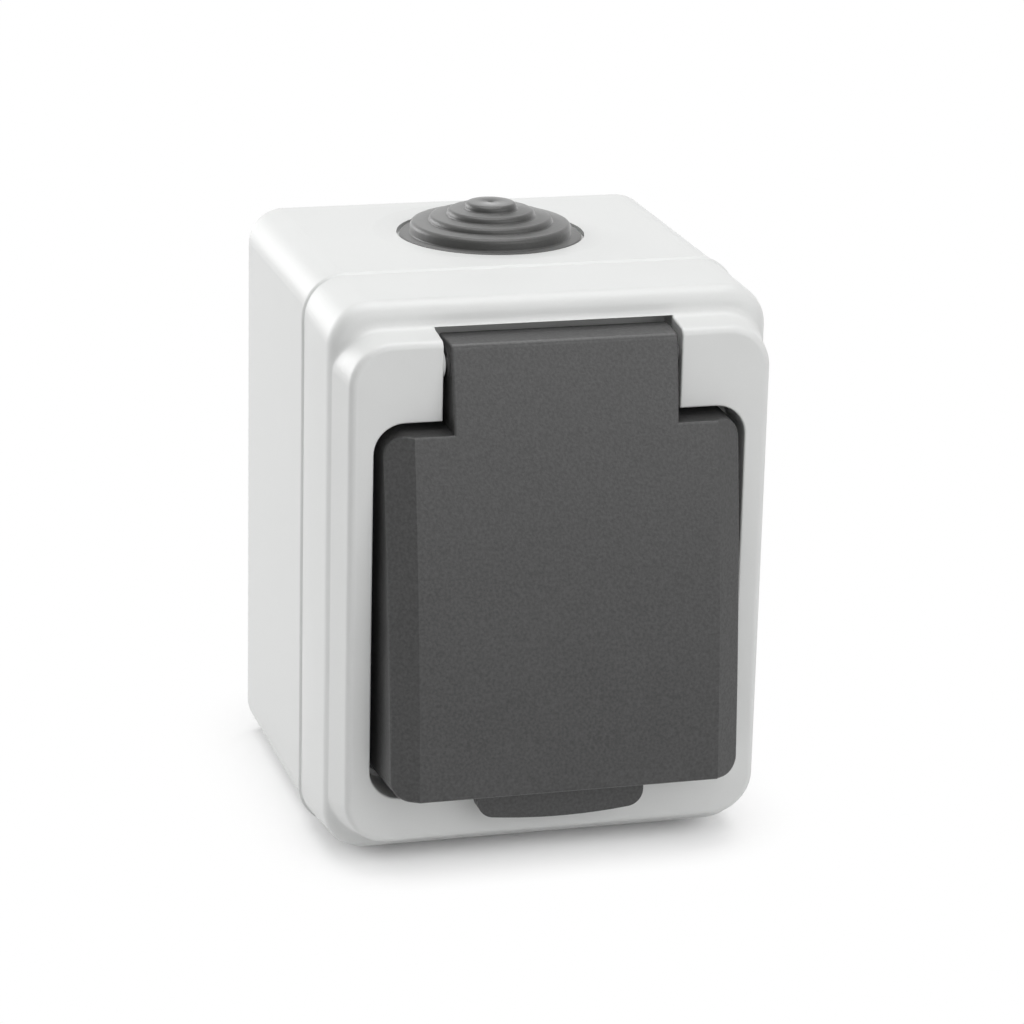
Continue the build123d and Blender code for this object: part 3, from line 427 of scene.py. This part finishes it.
def cable_grommet():
    """Stepped rubber grommet, turned from its half section, with soft round steps."""
    deselect()
    bpy.ops.mesh.primitive_plane_add(size=MM, location=(0, 0, 0))
    rubber = bpy.context.object
    rubber.name = "stepped_grommet"
    bpy.ops.object.mode_set(mode="EDIT")
    bpy.ops.mesh.merge(type="CENTER")
    at_radius, at_height = GROMMET_CORNERS[0]
    bpy.ops.transform.translate(value=(at_radius * MM, 0, at_height * MM))
    for radius, height in GROMMET_CORNERS[1:]:
        move = ((radius - at_radius) * MM, 0, (height - at_height) * MM)
        bpy.ops.mesh.extrude_region_move(TRANSFORM_OT_translate={"value": move})
        at_radius, at_height = radius, height
    for indices, width in GROMMET_BEVELS:
        for index in indices:
            corner = GROMMET_CORNERS[index]
            pick_points(rubber, lambda point: at_corner(point, corner))
            bpy.ops.mesh.bevel(affect="VERTICES", offset=width * MM, segments=ROUNDING_STEPS)
    bpy.ops.mesh.select_all(action="SELECT")
    bpy.ops.mesh.spin(steps=LATHE_STEPS, angle=2 * math.pi, center=(0, 0, 0), axis=(0, 0, 1))
    bpy.ops.mesh.select_all(action="SELECT")
    bpy.ops.mesh.remove_doubles(threshold=TOUCH * MM)
    settle(rubber, GROMMET_PLACE, GROMMET_RUBBER)
    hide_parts("cable_grommet")
    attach(rubber, "housing")


def on_cover_skin(point):
    """Whether a point of the cover is on the outside of its skirt, within the groove."""
    if not GROOVE_CUTS[0] + TOUCH < -point.y / MM < GROOVE_CUTS[-1] - TOUCH:
        return False
    middle_z = (COVER_TOP + COVER_BOTTOM) / 2
    half_h = (COVER_TOP - COVER_BOTTOM) / 2
    past_x = abs(point.x / MM) - (COVER_HALF_W - COVER_CORNER_R)
    past_z = abs(point.z / MM - middle_z) - (half_h - COVER_CORNER_R)
    from_core = math.hypot(max(past_x, 0), max(past_z, 0)) + min(max(past_x, past_z), 0)
    return from_core - COVER_CORNER_R > -SKIN


def front_cover():
    """The cover with a fine shadow groove pressed into its skirt beside the parting line."""
    deselect()
    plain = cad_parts["front_cover"]
    cover = bpy.data.objects.new("grooved_front_cover", plain.data.copy())
    bpy.context.collection.objects.link(cover)
    bpy.context.view_layer.objects.active = cover
    cover.select_set(True)
    bpy.ops.mesh.customdata_custom_splitnormals_clear()
    bpy.ops.object.mode_set(mode="EDIT")
    bpy.ops.mesh.select_all(action="SELECT")
    bpy.ops.mesh.remove_doubles(threshold=TOUCH * MM)
    for cut in GROOVE_CUTS:
        bpy.ops.mesh.select_all(action="SELECT")
        bpy.ops.mesh.bisect(plane_co=(0, -cut * MM, 0), plane_no=(0, 1, 0))
    pick_points(cover, on_cover_skin)
    bpy.ops.transform.shrink_fatten(value=-GROOVE_DEPTH * MM)
    bpy.ops.object.mode_set(mode="OBJECT")
    bpy.ops.object.shade_smooth_by_angle(angle=math.radians(SMOOTH_ANGLE))
    evening = cover.modifiers.new("evening", "WEIGHTED_NORMAL")
    evening.keep_sharp = True
    bpy.ops.object.modifier_apply(modifier=evening.name)
    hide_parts("front_cover")
    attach(cover, "housing")


def lid_spring():
    """Torsion spring on the hinge pin, with one leg on the cover and one in the lid."""
    rear = (-LID_SPRING_LEG_X, LID_SPRING_MEAN_R, 0.0)
    front = (LID_SPRING_LEG_X, -LID_SPRING_MEAN_R, 0.0)
    wire = wound_wire(
        "wound_lid_spring", rear, turned=(0, 0, 0), wire_r=LID_SPRING_WIRE_R, axis="X",
        turns=LID_SPRING_TURNS, advance=2 * LID_SPRING_LEG_X,
    )
    close_end(wire, rear, LID_SPRING_WIRE_R, LID_SPRING_LEG)
    close_end(wire, front, LID_SPRING_WIRE_R, LID_SPRING_LEG)
    settle(wire, HINGE, SPRING_WIRE)
    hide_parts("lid_spring")
    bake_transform(wire)


def shutter_spring():
    """Compression spring that pushes the shutter up."""
    foot = (SHUTTER_SPRING_MEAN_R, 0.0, SHUTTER_SPRING_WIRE_R)
    rise = SHUTTER_SPRING_L - 2 * SHUTTER_SPRING_WIRE_R
    head = (SHUTTER_SPRING_MEAN_R, 0.0, SHUTTER_SPRING_WIRE_R + rise)
    wire = wound_wire(
        "wound_shutter_spring", foot, turned=(math.pi / 2, 0, 0), wire_r=SHUTTER_SPRING_WIRE_R,
        axis="Z", turns=SHUTTER_SPRING_TURNS, advance=rise,
    )
    close_end(wire, foot, SHUTTER_SPRING_WIRE_R)
    close_end(wire, head, SHUTTER_SPRING_WIRE_R)
    settle(wire, SHUTTER_SPRING_FOOT, SPRING_WIRE)
    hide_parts("shutter_spring")
    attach(wire, "housing")
    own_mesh(wire)


def camera():
    """Places the camera and makes it the scene's."""
    turn = (
        Matrix.Rotation(-math.radians(CAMERA_AZIMUTH), 4, "Z")
        @ Matrix.Rotation(math.radians(90 - CAMERA_ELEVATION), 4, "X")
        @ Matrix.Rotation(math.radians(CAMERA_ROLL), 4, "Z")
    )
    place = Vector(CAMERA_AIM) + turn @ Vector((0, 0, CAMERA_DISTANCE))
    bpy.ops.object.camera_add()
    view = bpy.context.object
    view.name = "photograph_view"
    view.matrix_world = Matrix.Translation(place) @ turn
    view.data.lens = CAMERA_LENS
    view.data.sensor_width = CAMERA_SENSOR
    bpy.context.scene.camera = view


def softbox(name, place, size, power):
    """A square soft light that faces the object."""
    bpy.ops.object.light_add(type="AREA", location=place)
    lamp = bpy.context.object
    lamp.name = name
    lamp.data.size = size
    lamp.data.energy = power
    towards = Vector(LAMP_AIM) - Vector(place)
    lamp.rotation_euler = towards.to_track_quat("-Z", "Y").to_euler()


def seen_rays(tree):
    """One for rays that come from the camera or from a mirror or glass, else nought."""
    path = node(tree, "ShaderNodeLightPath")
    seen = path.outputs["Is Camera Ray"]
    for name in ("Is Glossy Ray", "Is Transmission Ray"):
        both = node(tree, "ShaderNodeMath", operation="MAXIMUM")
        tree.links.new(seen, both.inputs[0])
        tree.links.new(path.outputs[name], both.inputs[1])
        seen = both.outputs["Value"]
    return seen


def mixed(tree, amount, first, second):
    """Two shaders mixed by a value."""
    mix = node(tree, "ShaderNodeMixShader", links={"Fac": amount})
    tree.links.new(first.outputs[0], mix.inputs[1])
    tree.links.new(second.outputs[0], mix.inputs[2])
    return mix


def paper_sweep():
    """White paper that keeps the object's shadow near it and is plain white further off."""
    material, tree = blank_material("white_paper_sweep")
    place = node(tree, "ShaderNodeTexCoord").outputs["Object"]
    steps = (
        ("SUBTRACT", SHADOW_MIDDLE), ("MULTIPLY", (1, 1, 0)), ("ABSOLUTE", None),
        ("SUBTRACT", SHADOW_HALF), ("MAXIMUM", (0, 0, 0)), ("LENGTH", None),
    )
    for operation, operand in steps:
        step = node(
            tree, "ShaderNodeVectorMath", {1: operand} if operand else (), {0: place},
            operation=operation,
        )
        place = step.outputs[0]
    fade = node(
        tree, "ShaderNodeMapRange", {"From Max": SHADOW_REACH}, {"Value": step.outputs["Value"]},
        interpolation_type="SMOOTHSTEP",
    )
    paper = node(tree, "ShaderNodeBsdfDiffuse", {"Color": linear(PAPER_COLOUR)})
    bright_paper = node(tree, "ShaderNodeBsdfDiffuse", {"Color": linear(WHITE)})
    white = node(tree, "ShaderNodeEmission", {"Color": linear(WHITE), "Strength": 1.0})
    shown = mixed(tree, fade.outputs["Result"], bright_paper, white)
    finish_material(tree, mixed(tree, seen_rays(tree), paper, shown).outputs[0])
    return material


def studio():
    """Pale floor at the part's foot, white surround and soft lights."""
    deselect()
    bpy.ops.mesh.primitive_plane_add(size=FLOOR_SIZE, location=(0, 0, cad_box[0][2]))
    floor = bpy.context.object
    floor.name = "floor"
    bpy.ops.object.transform_apply(location=True, rotation=True, scale=True)
    floor.data.materials.append(paper_sweep())
    world = bpy.data.worlds.new("white_studio")
    bpy.context.scene.world = world
    world.use_nodes = True
    tree = world.node_tree
    tree.nodes.clear()
    light = node(tree, "ShaderNodeBackground", {"Color": linear(WHITE), "Strength": WORLD_LIGHT})
    white = node(tree, "ShaderNodeBackground", {"Color": linear(WHITE), "Strength": 1.0})
    around = mixed(tree, seen_rays(tree), light, white)
    node(tree, "ShaderNodeOutputWorld", links={"Surface": around.outputs[0]})
    for name, (place, size, power) in LAMPS.items():
        softbox(name, place, size, power)
    bpy.context.scene.view_settings.view_transform = "Standard"


dress_nodes()
front_cover()
cable_grommet()
lid_spring()
shutter_spring()
studio()
camera()
